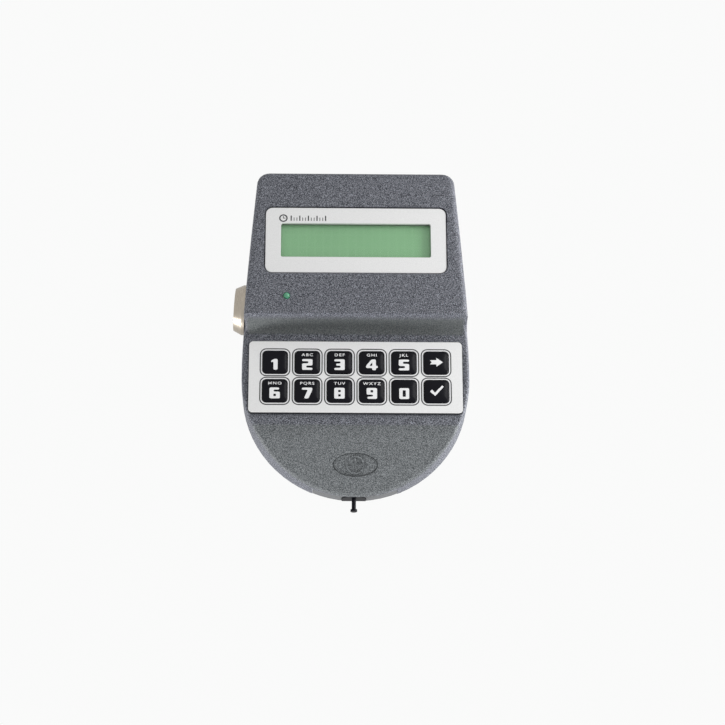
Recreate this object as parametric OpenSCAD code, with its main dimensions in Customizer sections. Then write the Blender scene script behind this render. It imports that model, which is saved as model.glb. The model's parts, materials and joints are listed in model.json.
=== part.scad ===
// Wall-mounted time clock with a sloping display, a twelve-key keypad and a touch-key reader.
// Every part is drawn face up on the wall plane: x to the right, y up the wall, z out of the wall.
// upright() then stands it on the wall: +Z up, -Y out of the wall, origin at the wall screw pattern.

/* [Housing] */
// Half the width of the housing where its sides are parallel, also the radius of its nose
half_w = 48.9; // [46:0.1:52]
// Height of the nose centre above the keypad centre line
nose_y = -0.7; // [-4:0.1:2]
// Top edge of the housing above the keypad centre line
top_y = 94.5; // [90:0.5:100]
// Height at which the sides start to lean in
taper_y = 8; // [0:1:30]
// How far each side leans in at the top
top_narrow = 6; // [0:0.1:7]
// Plan radius of the two top corners
corner_r = 5.5; // [4.5:0.1:7]
// Thickness of the housing walls
wall = 2.5; // [2:0.1:3]

/* [Front profile] */
// Slope of the display face and of the keypad face
face_tilt = 5.2; // [3:0.1:7]
// Depth of the housing at the ridge under the display
ridge_h = 29; // [27:0.1:32]
// Position of the ridge above the keypad centre line
ridge_y = 25.7; // [25:0.1:28]
// Foot of the hollow curve under the ridge
cove_y = 20.6; // [17.1:0.1:22]
// Depth of the keypad face at its centre line
key_h = 18.8; // [18:0.1:20]
// Crease between the keypad face and the nose
crease_y = -21.5; // [-22:0.1:-20]
// Slope of the nose
nose_slope = 24.8; // [23:0.1:25]

/* [Display] */
// Centre of the display plate above the keypad centre line
display_y = 61.24; // [60:0.1:62]
// Width of the display plate
display_w = 78.5; // [76:0.1:80]
// Height of the display plate
display_l = 31.5; // [30:0.1:33]
// Width of the display opening
window_w = 65.1; // [62:0.1:66]
// Height of the display opening
window_l = 16.3; // [15:0.1:17]
// Sideways position of the status light
led_x = -29.8; // [-32:0.1:-25]
// Position of the status light above the keypad centre line
led_y = 34.2; // [33:0.1:36]

/* [Keypad] */
// Width of the keypad plate
plate_w = 92; // [90:0.1:92]
// Height of the keypad plate
plate_l = 33.7; // [33:0.1:34]
// Column spacing of the keys
key_dx = 13.83; // [13.5:0.01:14]
// Row spacing of the keys
key_dy = 13.41; // [13.2:0.01:13.6]
// Width of a key top
key_w = 10.7; // [10:0.1:11]
// Travel of a key
key_travel = 0.8; // [0.5:0.1:1]

/* [Reader] */
// Centre of the reader above the keypad centre line
reader_y = 32.6; // [32:0.1:33]
// Centre of the reader out of the wall
reader_h = 14; // [14:0.1:14.5]
// Radius of the reader collar at the housing
reader_r = 10.9; // [10:0.1:11]
// Radius of the reader face
reader_face_r = 9.2; // [9:0.1:9.6]
// How far the reader stands out of the side
reader_out = 4.7; // [4:0.1:5]

/* [Release latch] */
// Sideways position of the release plunger
latch_x = -0.5; // [-1:0.1:1]
// Centre of the release plunger out of the wall
latch_h = 4.5; // [4.4:0.1:4.7]
// Radius of the release plunger
plunger_r = 0.92; // [0.8:0.01:1]
// Travel of the release plunger
plunger_travel = 4; // [3:0.5:4]

/* [Wall fixing] */
// Height of the wall screw pattern centre above the keypad centre line
screw_y = 23; // [22:0.5:24]
// Sideways spacing of the wall screws
screw_dx = 64; // [60:1:66]
// Vertical spacing of the wall screws
screw_dy = 90; // [86:1:92]
// Radius of a wall screw hole
screw_r = 2.25; // [2:0.05:2.5]
// Radius of the cable entry
cable_r = 5.5; // [4:0.5:5.5]
// Height of the cable entry above the keypad centre line
cable_y = 50; // [49:0.5:51]

/* [Hidden] */

$fn = 64;

gap = 0.3;
ease_l = 1.2;
ease_drop = 0.35;
face_edge = 2.5;
low_edge = 1.3;
base_t = 3;
board_h = 5.6;
board_t = 1.6;
board_top = board_h + board_t;
key_cols = 6;
carrier_t = 1.1;
overlay_t = 0.3;
flange_t = 0.9;
flange_w = 11.7;
keypad_board_z = -5.2;
bezel_z = -0.4;
bezel_t = 1.2;
window_z = bezel_z - bezel_t;
window_t = 0.8;
frame_z = -2.6;
frame_t = 5;
frame_lip = 0.4;
lcd_board_z = frame_z - frame_t;
notch_half = 18.2;
notch_h = 6.8;
latch_pin_in = -33;
latch_face_y = nose_y - half_w;

tilt_rise = tan(face_tilt);
crease_h = key_h - crease_y * tilt_rise;
cove_rise = ridge_h - ease_drop - (key_h - ridge_y * tilt_rise);
crease_angle = asin((nose_y - crease_y) / half_w);

// Half width of the housing at height y
function side_x(y) =
    y > taper_y ? half_w - top_narrow * pow((y - taper_y) / (top_y - taper_y), 1.3) : half_w;

// Depth of the front face at height y
function face_h(y) =
    y >= ridge_y ? display_h(y) - ease_drop * pow(max(0, 1 - (y - ridge_y) / ease_l), 2)
    : y >= cove_y ? keypad_h(y) + cove_rise * (1 - sqrt(max(0, 1 - pow((y - cove_y) / (ridge_y - cove_y), 2))))
    : y >= crease_y ? keypad_h(y)
    : crease_h + (y - crease_y) * tan(nose_slope);

function display_h(y) = ridge_h - (y - ridge_y) * tilt_rise;
function keypad_h(y) = key_h - y * tilt_rise;

// Radius of the edge round, softer along the display than along the keypad and nose
function edge_r(y) =
    y >= ridge_y ? face_edge
    : y <= cove_y ? low_edge
    : low_edge + (face_edge - low_edge) * (y - cove_y) / (ridge_y - cove_y);

// A station is [x, y, normal x, normal y, hold], where hold 1 keeps y as the outline moves in
function side_station(y) =
    let (n = [1, (side_x(y - 0.1) - side_x(y + 0.1)) / 0.2], u = n / norm(n))
    [side_x(y), y, u[0], u[1], 1];

function corner_station(a) =
    [side_x(top_y - corner_r) + corner_r * (cos(a) - 1), top_y + corner_r * (sin(a) - 1), cos(a), sin(a), 0];

function nose_station(a, held) =
    [half_w * cos(a), nose_y - half_w * sin(a), cos(a), -sin(a), a <= held ? 1 : max(0, 1 - (a - held) / 35)];

// Stations from the top edge down the right side, with the creases moved up by shift
function stations(shift) =
    let (
        side_top = top_y - corner_r,
        eased = ridge_y + ease_l + shift,
        foot = cove_y + shift,
        held = asin((nose_y - crease_y - shift) / half_w)
    )
    concat(
        [for (a = [90:-15:15]) corner_station(a)],
        [for (i = [0:5]) side_station(side_top - (side_top - eased) * i / 5)],
        [for (i = [2:-1:0]) side_station(ridge_y + shift + ease_l * i / 3)],
        [for (a = [78:-12:6]) side_station(foot + (ridge_y - cove_y) * sin(a))],
        [side_station(foot), side_station(foot * 0.66), side_station(foot * 0.33)],
        [for (i = [0:5]) nose_station(held * i / 5, held)],
        [for (i = [1:12]) nose_station(held + (87 - held) * i / 12, held)]
    );

// One point of the skin: station s moved in by inset and round the edge to angle a
function skin_point(s, inset, drop, shift, edge, a) =
    let (
        r = edge * edge_r(s[1] - shift),
        d = inset + r * (1 - cos(a)),
        slip = s[4] > 0 ? s[4] * s[3] / s[2] : 0,
        x = s[0] - d * (s[2] + slip * s[3]),
        y = s[1] - d * (s[3] - slip * s[2])
    )
    [x, y, face_h(y - shift) - drop - r * (1 - sin(a))];

function mirrored(points) =
    concat(points, [for (i = [len(points) - 1:-1:0]) [-points[i][0], points[i][1], points[i][2]]]);

// Closed solid under the front face, from z = floor_z up
module housing_solid(inset, drop, shift, edge, floor_z) {
    line = stations(shift);
    n = len(line);
    foot_ring = [for (s = line) let (p = skin_point(s, inset, drop, shift, edge, 0)) [p[0], p[1], floor_z]];
    rings = concat(
        [mirrored(foot_ring)],
        [for (a = [0:22.5:90]) mirrored([for (s = line) skin_point(s, inset, drop, shift, edge, a)])]
    );
    m = 2 * n;
    last = m * (len(rings) - 1);
    polyhedron(
        points = [for (ring = rings) each ring],
        faces = concat(
            [[for (i = [m - 1:-1:0]) i]],
            [for (k = [0:len(rings) - 2], i = [0:m - 1])
                let (j = (i + 1) % m, b = k * m) [b + i, b + j, b + m + j, b + m + i]],
            [for (i = [0:n - 2]) [last + i, last + i + 1, last + m - 2 - i, last + m - 1 - i]]
        ),
        convexity = 8
    );
}

// Flat outline of the housing, moved in by inset
function outline(inset) =
    let (half = [for (s = stations(0)) skin_point(s, inset, 0, 0, 0, 0)])
    [for (p = mirrored(half)) [p[0], p[1]]];

function rounded_corners(w, l, r, steps) = [
    for (c = [0:3], i = [0:steps])
        let (a = 90 * (c + i / steps), sx = c == 0 || c == 3 ? 1 : -1, sy = c < 2 ? 1 : -1)
        [sx * (w / 2 - r) + r * cos(a), sy * (l / 2 - r) + r * sin(a)]
];

module rounded_block(w, l, z_low, z_high, r, steps = 6) {
    translate([0, 0, z_low])
        linear_extrude(z_high - z_low)
            polygon(rounded_corners(w, l, r, steps));
}

module rounded_frame(w, l, z_low, z_high, r, inner_w, inner_l, inner_r) {
    difference() {
        rounded_block(w, l, z_low, z_high, r);
        rounded_block(inner_w, inner_l, z_low - 1, z_high + 1, inner_r);
    }
}

module block(x, y, z) {
    translate([x[0], y[0], z[0]])
        cube([x[1] - x[0], y[1] - y[0], z[1] - z[0]]);
}

module post(r, z_low, z_high) {
    translate([0, 0, z_low])
        cylinder(r = r, h = z_high - z_low);
}

function ellipse_points(a, b, steps) = [for (i = [0:steps - 1]) [a * cos(360 * i / steps), b * sin(360 * i / steps)]];

// Places drawn parts on the wall, the faces and the side
module upright() {
    translate([0, 0, -screw_y])
        rotate([90, 0, 0])
            children();
}

module on_display(y) {
    translate([0, y, display_h(y)])
        rotate([-face_tilt, 0, 0])
            children();
}

module on_keypad() {
    translate([0, 0, key_h])
        rotate([-face_tilt, 0, 0])
            children();
}

module on_nose(y) {
    translate([0, y, face_h(y)])
        rotate([nose_slope, 0, 0])
            children();
}

barrel_r = 7;
nut_r = 9.1;
reader_lean = atan((side_x(reader_y - 1) - side_x(reader_y + 1)) / 2);

module on_side() {
    translate([-side_x(reader_y), reader_y, reader_h])
        rotate([0, 0, -reader_lean])
            rotate([0, -90, 0])
                children();
}

module on_latch() {
    translate([latch_x, 0, latch_h])
        rotate([-90, 0, 0])
            children();
}

// Tube of radius r along a list of points, with sides seen square to the ref direction
module tube(path, r, sides, ref) {
    n = len(path);
    rings = [for (i = [0:n - 1])
        let (
            t = path[min(i + 1, n - 1)] - path[max(i - 1, 0)],
            u = cross(t, ref) / norm(cross(t, ref)),
            v = cross(u, t) / norm(t)
        )
        [for (k = [0:sides - 1]) path[i] + r * (cos(360 * k / sides) * u + sin(360 * k / sides) * v)]
    ];
    polyhedron(
        points = [for (ring = rings) each ring],
        faces = concat(
            [[for (k = [0:sides - 1]) k]],
            [for (i = [0:n - 2], k = [0:sides - 1])
                let (j = (k + 1) % sides)
                [i * sides + k, (i + 1) * sides + k, (i + 1) * sides + j, i * sides + j]],
            [[for (k = [sides - 1:-1:0]) (n - 1) * sides + k]]
        )
    );
}

// Smooth path through a few hand-placed points
function bend(a, b, c, d, s) =
    0.5 * (2 * b + (c - a) * s + (2 * a - 5 * b + 4 * c - d) * s * s + (3 * b - a - 3 * c + d) * s * s * s);

function smooth(p, steps) =
    let (n = len(p), q = concat([2 * p[0] - p[1]], p, [2 * p[n - 1] - p[n - 2]]))
    concat([for (i = [0:n - 2], s = [0:steps - 1]) bend(q[i], q[i + 1], q[i + 2], q[i + 3], s / steps)], [p[n - 1]]);

module coil_spring(r, wire_r, length, turns, per_turn) {
    total = turns * per_turn;
    tube(
        [for (i = [0:total])
            [r * cos(360 * i / per_turn), r * sin(360 * i / per_turn), wire_r + (length - 2 * wire_r) * i / total]],
        wire_r, 6, [0, 0, 1]
    );
}

module at_corners(dx, dy) {
    for (sx = [-1, 1], sy = [-1, 1])
        translate([sx * dx / 2, sy * dy / 2, 0])
            children();
}

module at_key(col, row) {
    translate([(col - (key_cols - 1) / 2) * key_dx, (0.5 - row) * key_dy, 0])
        children();
}

module pan_screw(head_r, head_h, shank_r, length) {
    difference() {
        union() {
            post(head_r, -head_h, 0);
            post(shank_r, -0.01, length);
        }
        block([-head_r * 0.6, head_r * 0.6], [-0.2, 0.2], [-head_h - 1, -head_h * 0.5]);
        block([-0.2, 0.2], [-head_r * 0.6, head_r * 0.6], [-head_h - 1, -head_h * 0.5]);
    }
}

// Housing
lcd_boss_dx = 75;
lcd_boss_dy = 31;
hook_x = 33;
hook_y = top_y - wall - 0.6;

module front_shell() {
    color("#62656b")
        difference() {
            union() {
                difference() {
                    housing_solid(0, 0, 0, 1, 0);
                    housing_solid(wall, wall, wall, 0.4, -1);
                }
                on_display(display_y) rounded_block(display_w + 5, display_l + 5, -2.5, -1, 4);
                on_display(display_y) at_corners(lcd_boss_dx, lcd_boss_dy) post(2.6, lcd_board_z, -2);
                on_display(led_y) translate([led_x, 0, 0]) post(4, -3.2, -1);
                block([latch_x - 6, latch_x + 6], [-36.6, -34], [3.4, 14]);
            }
            on_display(display_y) {
                rounded_block(display_w + 1, display_l + 1, window_z, 3, 3.5);
                rounded_block(window_w + 5, window_l + 5, -6, 1, 2);
                at_corners(lcd_boss_dx, lcd_boss_dy) post(0.9, lcd_board_z - 1, -3);
            }
            on_display(led_y) translate([led_x, 0, 0]) post(1.65, -5, 2);
            on_keypad() rounded_block(84.6, 28.4, -6, 3, 1.5);
            on_keypad() rounded_block(plate_w + 0.6, plate_l + 0.6, 0, 3, 2.3);
            on_nose(-37.24) translate([0, 0, -0.75]) linear_extrude(3) polygon(ellipse_points(9.65, 5.15, 48));
            on_side() post(barrel_r + 0.15, -5, 2);
            on_side() post(nut_r + 0.4, -11, -wall);
            block([-notch_half, notch_half], [-60, -40], [-1, notch_h]);
            on_latch() post(plunger_r + 0.25, -37, -33.5);
            for (sx = [-1, 1])
                translate([sx * hook_x, 0, 0])
                    block([-4.6, 4.6], [top_y - wall - 1, top_y - 1], [4.6, 7.4]);
        }
}

module base_plate() {
    tongue = outline(0.15);
    color("#6a6c70")
        difference() {
            union() {
                linear_extrude(base_t) polygon(outline(wall + gap));
                intersection() {
                    linear_extrude(notch_h - 0.6) polygon(tongue);
                    block([-notch_half + 0.08, notch_half - 0.08], [-60, -43.6], [-1, 10]);
                }
                for (x = [-31, 39], y = [-11, 38])
                    translate([x, y, 0]) post(3, base_t - 0.01, board_h);
                for (sx = [-1, 1])
                    translate([sx * hook_x, 0, 0]) {
                        block([-4, 4], [hook_y - 2.4, hook_y], [base_t - 0.01, 6.9]);
                        block([-4, 4], [hook_y - 0.01, hook_y + 1.5], [5.1, 6.9]);
                    }
            }
            translate([0, screw_y, 0])
                at_corners(screw_dx, screw_dy) post(screw_r, -1, 9);
            translate([0, cable_y, 0]) post(cable_r, -1, 9);
            for (x = [-31, 39], y = [-11, 38])
                translate([x, y, 0]) post(1.1, 1, 9);
            on_latch() bush_body(0.1);
            on_latch() post(2.1, latch_face_y + 4.5, -30);
        }
}

module oval_badge() {
    color("#6c6f74")
        on_nose(-37.24) {
            translate([0, 0, -0.7]) linear_extrude(0.2) polygon(ellipse_points(9.3, 4.8, 48));
            translate([0, 0, -0.51])
                linear_extrude(0.55)
                    difference() {
                        circle(r = 3.9);
                        circle(r = 3.3);
                    }
            translate([0, 0, -0.51]) linear_extrude(0.55) translate([-0.3, -0.3]) square([0.6, 3]);
            translate([0, 0, -0.51]) linear_extrude(0.55) translate([-0.3, -0.3]) square([2.3, 0.6]);
        }
}

// Display
module display_plate() {
    color("#e3e4e8")
        on_display(display_y)
            rounded_frame(display_w, display_l, window_z, bezel_z, 3, window_w, window_l, 0.8);
}

module display_window() {
    color([0.75, 0.9, 0.8, 0.35])
        on_display(display_y)
            rounded_block(window_w + 4, window_l + 4, window_z - window_t, window_z, 1.5);
}

module lcd_frame() {
    color("#2a2c30")
        on_display(display_y)
            difference() {
                rounded_block(71, 26, lcd_board_z, frame_z, 1);
                rounded_block(window_w + 1, window_l + 0.9, -10, 0, 0.8);
                rounded_block(69.4, 23.4, lcd_board_z - 1, frame_z - frame_lip, 0.8);
            }
}

module lcd_glass() {
    color("#8cc494")
        on_display(display_y)
            rounded_block(69, 22.8, frame_z - frame_lip - 1.2, frame_z - frame_lip, 0.4);
}

module lcd_backlight() {
    color("#e8efe0")
        on_display(display_y)
            rounded_block(68, 22.4, lcd_board_z, frame_z - frame_lip - 1.2, 0.4);
}

module lcd_board() {
    color("#1d5c38")
        on_display(display_y)
            difference() {
                rounded_block(80, 36, lcd_board_z - board_t, lcd_board_z, 1);
                at_corners(lcd_boss_dx, lcd_boss_dy) post(1.3, -12, 0);
            }
}

module lcd_chips() {
    color("#17181a")
        on_display(display_y)
            for (x = [-14, 14])
                translate([x, 0, lcd_board_z - board_t])
                    rotate([180, 0, 0])
                        cylinder(r1 = 6, r2 = 4.5, h = 1.1);
}

module lcd_screws() {
    color("#b9bcc0")
        on_display(display_y)
            at_corners(lcd_boss_dx, lcd_boss_dy)
                translate([0, 0, lcd_board_z - board_t])
                    pan_screw(2.1, 1.3, 0.85, 4);
}

module led() {
    color([0.3, 0.75, 0.45])
        on_display(led_y)
            translate([led_x, 0, 0]) {
                post(1.5, -4.2, -0.4);
                translate([0, 0, -0.4]) sphere(r = 1.5);
                post(1.9, -5.1, -4.2);
                for (x = [-1.27, 0.77])
                    block([x, x + 0.5], [-0.25, 0.25], [-20.4, -5.09]);
            }
}

module led_holder() {
    color("#1b1c1f")
        on_display(led_y)
            translate([led_x, 0, 0])
                difference() {
                    post(3, -6.4, -3.3);
                    post(1.56, -5, -3);
                    post(1.96, -7, -4.15);
                }
}

// Keypad
module keypad_carrier() {
    color("#17181b")
        on_keypad()
            difference() {
                union() {
                    rounded_block(plate_w, plate_l, 0.05, carrier_t, 2);
                    rounded_frame(84, 27.8, -3, 0.06, 1.4, 82.4, 26, 1.2);
                    for (x = [-2, 0, 2])
                        translate([x * key_dx, 0, 0]) post(1.3, keypad_board_z + 0.05, 0.06);
                }
                for (row = [0, 1], col = [0:key_cols - 1])
                    at_key(col, row) rounded_block(key_w + 0.5, key_w + 0.5, -1, 3, 2);
                for (x = [-2, 0, 2])
                    translate([x * key_dx, 0, 0]) post(0.7, keypad_board_z - 1, -0.8);
            }
}

module keypad_overlay() {
    color("#e6e7eb")
        on_keypad()
            difference() {
                rounded_block(plate_w - 0.4, plate_l - 0.4, carrier_t, carrier_t + overlay_t, 1.8);
                for (row = [0, 1], col = [0:key_cols - 1])
                    at_key(col, row) rounded_block(key_w + 0.4, key_w + 0.4, 0, 3, 1.95);
            }
}

module key(col, row) {
    crown_r = 34;
    crown_z = 2.35;
    color("#111217")
        on_keypad()
            at_key(col, row) {
                intersection() {
                    rounded_block(key_w, key_w, -0.3, 3, 1.8);
                    translate([0, 0, crown_z - crown_r]) sphere(r = crown_r, $fn = 128);
                }
                rounded_block(flange_w, flange_w, -flange_t, -0.05, 2);
                post(2, -1.5, -flange_t + 0.01);
            }
}

module key_domes() {
    color("#c9ccd2")
        on_keypad()
            for (row = [0, 1], col = [0:key_cols - 1])
                at_key(col, row)
                    rotate_extrude($fn = 32)
                        polygon([
                            [0, -2.1], [0, -1.5], [1.6, -1.5], [3.6, keypad_board_z + 0.6],
                            [4.6, keypad_board_z + 0.6], [4.6, keypad_board_z], [3, keypad_board_z], [1.2, -2.1],
                        ]);
}

module keypad_board() {
    color("#1f6a3d")
        on_keypad()
            difference() {
                rounded_block(81, 30, keypad_board_z - board_t, keypad_board_z, 1);
                for (x = [-2, 0, 2])
                    translate([x * key_dx, 0, 0]) post(0.9, keypad_board_z - 3, 0);
            }
}

module keypad_screws() {
    color("#b9bcc0")
        on_keypad()
            for (x = [-2, 0, 2])
                translate([x * key_dx, 0, keypad_board_z - board_t])
                    pan_screw(1.5, 1, 0.65, 4);
}

module key_1() { key(0, 0); }
module key_2() { key(1, 0); }
module key_3() { key(2, 0); }
module key_4() { key(3, 0); }
module key_5() { key(4, 0); }
module key_arrow() { key(5, 0); }
module key_6() { key(0, 1); }
module key_7() { key(1, 1); }
module key_8() { key(2, 1); }
module key_9() { key(3, 1); }
module key_0() { key(4, 1); }
module key_check() { key(5, 1); }

// Electronics on the base
header_top = board_top + 2.6;

module strip(points, x_low, x_high) {
    translate([x_low, 0, 0])
        rotate([90, 0, 90])
            linear_extrude(x_high - x_low)
                polygon(points);
}

module keypad_cable() {
    color("#8e9298")
        strip([
            [11, 10.9], [14.3, 10.6], [17.6, 10.4], [17.6, header_top], [16.8, header_top], [16.8, 9.9],
            [14.3, 10.05], [11, 10.35],
        ], -34, -16);
}

module lcd_cable() {
    color("#8e9298")
        strip([
            [39.4, header_top], [39.4, 15], [43.1, 18], [44.6, 17.25], [44.6, 16.6], [43.3, 17.1],
            [40.2, 14.6], [40.2, header_top],
        ], 14, 33);
}

module board_headers() {
    color("#202226") {
        block([-35, -15], [15.8, 19], [board_top, header_top]);
        block([13.2, 34], [38.2, 41.4], [board_top, header_top]);
    }
}

module main_board() {
    color("#1f6a3d")
        difference() {
            block([-35.5, 43], [-14, 42], [board_h, board_top]);
            for (x = [-31, 39], y = [-11, 38])
                translate([x, y, 0]) post(1.3, 4, 9);
        }
}

module processor() {
    color("#1a1b1e")
        translate([-8, 2, board_top])
            difference() {
                union() {
                    rounded_block(24, 24, 0.6, 2.5, 0.6, 2);
                    for (a = [0:90:270], i = [-5:5])
                        rotate([0, 0, a]) block([i * 1.9 - 0.35, i * 1.9 + 0.35], [11.9, 12.5], [0, 1.6]);
                }
                translate([-9, 9, 2.2]) cylinder(r = 0.8, h = 1);
            }
}

module memory_chips() {
    color("#1a1b1e")
        for (y = [-6, 8])
            translate([21, y, board_top]) {
                block([-9, 9], [-3.8, 3.8], [0.5, 2.7]);
                for (i = [-6:6], s = [-1, 1])
                    block([i * 1.27 - 0.25, i * 1.27 + 0.25], [s * 4.4 - 0.65, s * 4.4 + 0.65], [0, 0.9]);
            }
}

module crystal() {
    color("#c8cace")
        translate([-27, 6, board_top])
            rounded_block(4.6, 11, 0, 2.5, 2.2);
}

module capacitors() {
    color("#23262e")
        for (p = [[20, 25], [29, 25], [20, 33]])
            translate([p[0], p[1], board_top]) {
                post(3.2, 0.3, 7);
                post(2.9, 0, 0.31);
            }
}

module voltage_regulator() {
    color("#1a1b1e")
        translate([37.5, 20.8, board_top]) {
            block([-5, 5], [-4.4, 4.4], [0, 4.2]);
            block([-5, 5], [4.39, 7.4], [0, 1.1]);
        }
}

module terminal_block() {
    color("#2f7d4a")
        translate([-16, 36.2, board_top])
            difference() {
                block([-7.5, 7.5], [-4.4, 4.4], [0, 9.5]);
                for (i = [-1:1]) {
                    translate([i * 5, -0.8, 0]) post(1.8, 7, 11);
                    block([i * 5 - 1.7, i * 5 + 1.7], [2.5, 6], [1.4, 5]);
                }
            }
}

module buzzer() {
    color("#141518")
        translate([30.5, 33, board_top])
            difference() {
                post(4.6, 0, 5);
                post(0.9, 3.5, 6);
            }
}

module coin_cell() {
    color("#c9ccd0")
        translate([4, 31, board_top]) {
            post(9.6, 1.9, 3.9);
            post(8.4, 1.1, 1.91);
        }
}

module coin_cell_holder() {
    color("#1d1e22")
        translate([4, 31, board_top])
            difference() {
                post(10.8, 0, 3.4);
                post(9.8, 1, 5);
                block([-12, 12], [-12, -7], [1, 5]);
            }
}

module battery_pack() {
    color("#3d7d58")
        for (i = [0:2])
            translate([-22, 64.6 + i * 10.6, base_t + 5.35])
                rotate([0, 90, 0]) {
                    post(5.25, 0, 43.5);
                    post(1.9, 43.49, 44.3);
                }
}

module battery_leads() {
    color("#b23a32")
        for (s = [0, 1])
            tube(
                smooth([
                    [-24 - s * 1.6, 66, 9], [-24.6 - s * 1.6, 58, 8.6], [-25 - s * 1.6, 50, 9.6],
                    [-25.5 - s * 1.6, 42, 10.6], [-25.6 - s * 1.6, 37.6, 9.8], [-25.6 - s * 1.6, 36.4, board_top + 0.1],
                ], 3),
                0.6, 8, [1, 0, 0]
            );
}

module board_screws() {
    color("#b9bcc0")
        for (x = [-31, 39], y = [-11, 38])
            translate([x, y, board_top])
                rotate([180, 0, 0])
                    pan_screw(2.5, 1.5, 1.05, 5);
}

// Reader
module reader_collar() {
    color("#b7b1a6")
        on_side()
            difference() {
                union() {
                    post(reader_r, 0, 1.2);
                    translate([0, 0, 1.19])
                        cylinder(r1 = reader_r, r2 = reader_face_r, h = reader_out - 1.19);
                    post(barrel_r, -11, 0.01);
                }
                post(8.45, 2.5, 6);
                post(5.4, -12, 3);
            }
}

module reader_insulator() {
    color("#17181a")
        on_side()
            difference() {
                post(5.35, -10, 0.6);
                post(2.06, -11, 2);
                post(3.4, -4, 2);
            }
}

module reader_contact() {
    color("#d0cbc0")
        on_side() {
            post(5, 1.75, 2.8);
            post(2, -9.6, 1.76);
        }
}

module reader_spring() {
    color("#c8cacd")
        on_side()
            translate([0, 0, -4])
                coil_spring(2.75, 0.3, 5.75, 4, 12);
}

module reader_nut() {
    color("#b4b6ba")
        on_side()
            difference() {
                translate([0, 0, -wall - 3.6])
                    cylinder(r = nut_r, h = 3.5, $fn = 6);
                post(barrel_r + 0.06, -9, 2);
            }
}

module reader_wires() {
    color("#c03a30")
        for (s = [0, 1])
            tube(
                smooth([
                    [-36.2, 30.6 + s * 3, 14.5], [-34.2, 30 + s * 3, 14], [-32.7, 28.8 + s * 3, 12],
                    [-32.4, 28 + s * 3, 9.6], [-32.4, 27.8 + s * 3, board_top + 0.1],
                ], 3),
                0.6, 8, [0, 1, 0]
            );
}

// Release latch, drawn along its own axis with z up the wall
module release_plunger() {
    head_end = latch_face_y - 5.8;
    color("#0d0d12")
        on_latch() {
            post(plunger_r, head_end, latch_pin_in);
            post(1.45, head_end, head_end + 1);
        }
}

module bush_body(grow) {
    difference() {
        translate([0, 0, latch_face_y + 0.15 - grow])
            linear_extrude(4.6 + 2 * grow)
                polygon(concat(
                    [[5.2 + grow, latch_h - 0.2], [-5.2 - grow, latch_h - 0.2]],
                    [for (a = [180:15:360]) [
                        (a <= 270 ? -2.2 : 2.2) + (3 + grow) * cos(a),
                        1 + (3.1 + grow) * sin(a),
                    ]]
                ));
        block([-20, 20], [-20, latch_h - notch_h - 50], [-60, 0]);
    }
}

module plunger_bush() {
    color("#0f0f13")
        on_latch()
            difference() {
                bush_body(0);
                post(plunger_r + 0.06, -60, -30);
            }
}

module plunger_spring() {
    color("#c8cacd")
        on_latch()
            translate([0, 0, latch_face_y + 4.75])
                coil_spring(1.2, 0.18, 6, 5, 10);
}

module plunger_clip() {
    color("#9a9da2")
        on_latch()
            difference() {
                post(1.4, latch_face_y + 10.8, latch_face_y + 11.3);
                post(plunger_r - 0.01, -60, -30);
            }
}

upright() front_shell();
upright() base_plate();
upright() oval_badge();
upright() display_plate();
upright() display_window();
upright() lcd_frame();
upright() lcd_glass();
upright() lcd_backlight();
upright() lcd_board();
upright() lcd_chips();
upright() lcd_screws();
upright() led();
upright() led_holder();
upright() keypad_carrier();
upright() keypad_overlay();
upright() key_domes();
upright() keypad_board();
upright() keypad_screws();
upright() key_1();
upright() key_2();
upright() key_3();
upright() key_4();
upright() key_5();
upright() key_arrow();
upright() key_6();
upright() key_7();
upright() key_8();
upright() key_9();
upright() key_0();
upright() key_check();
upright() keypad_cable();
upright() lcd_cable();
upright() board_headers();
upright() main_board();
upright() processor();
upright() memory_chips();
upright() crystal();
upright() capacitors();
upright() voltage_regulator();
upright() terminal_block();
upright() buzzer();
upright() coin_cell();
upright() coin_cell_holder();
upright() battery_pack();
upright() battery_leads();
upright() board_screws();
upright() reader_collar();
upright() reader_insulator();
upright() reader_contact();
upright() reader_spring();
upright() reader_nut();
upright() reader_wires();
upright() release_plunger();
upright() plunger_bush();
upright() plunger_spring();
upright() plunger_clip();
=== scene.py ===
"""Looks of the wall-mounted time clock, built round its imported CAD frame. Lengths are in metres."""

import json
import math

import bmesh
import bpy
from mathutils import Matrix, Vector


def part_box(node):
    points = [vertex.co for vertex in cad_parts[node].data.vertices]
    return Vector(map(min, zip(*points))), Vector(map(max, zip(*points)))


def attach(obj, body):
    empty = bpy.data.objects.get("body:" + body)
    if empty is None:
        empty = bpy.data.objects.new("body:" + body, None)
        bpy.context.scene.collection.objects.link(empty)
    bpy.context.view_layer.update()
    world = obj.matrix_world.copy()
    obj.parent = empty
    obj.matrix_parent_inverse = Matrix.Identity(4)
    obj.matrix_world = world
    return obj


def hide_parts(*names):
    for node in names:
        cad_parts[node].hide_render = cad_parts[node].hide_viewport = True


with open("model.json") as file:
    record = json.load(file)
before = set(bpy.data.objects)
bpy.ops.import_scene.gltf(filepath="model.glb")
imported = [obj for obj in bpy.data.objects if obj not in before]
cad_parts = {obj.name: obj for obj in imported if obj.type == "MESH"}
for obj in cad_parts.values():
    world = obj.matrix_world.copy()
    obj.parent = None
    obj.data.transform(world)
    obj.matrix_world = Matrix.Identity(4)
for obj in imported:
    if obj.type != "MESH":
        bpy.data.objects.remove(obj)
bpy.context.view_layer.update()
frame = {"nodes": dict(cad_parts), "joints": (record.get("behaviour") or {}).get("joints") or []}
MM = 0.001
SCENE = bpy.context.scene


# ---------------------------------------------------------------- camera, light and stage

VIEW_BELOW = math.radians(19.43)
VIEW_RIGHT = math.radians(-1.0)
VIEW_ROLL = math.radians(-0.01)
VIEW_DISTANCE = 1.109
VIEW_LENS = 128.1
VIEW_TARGET = Vector((0.00297, -0.019, -0.01588))


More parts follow.
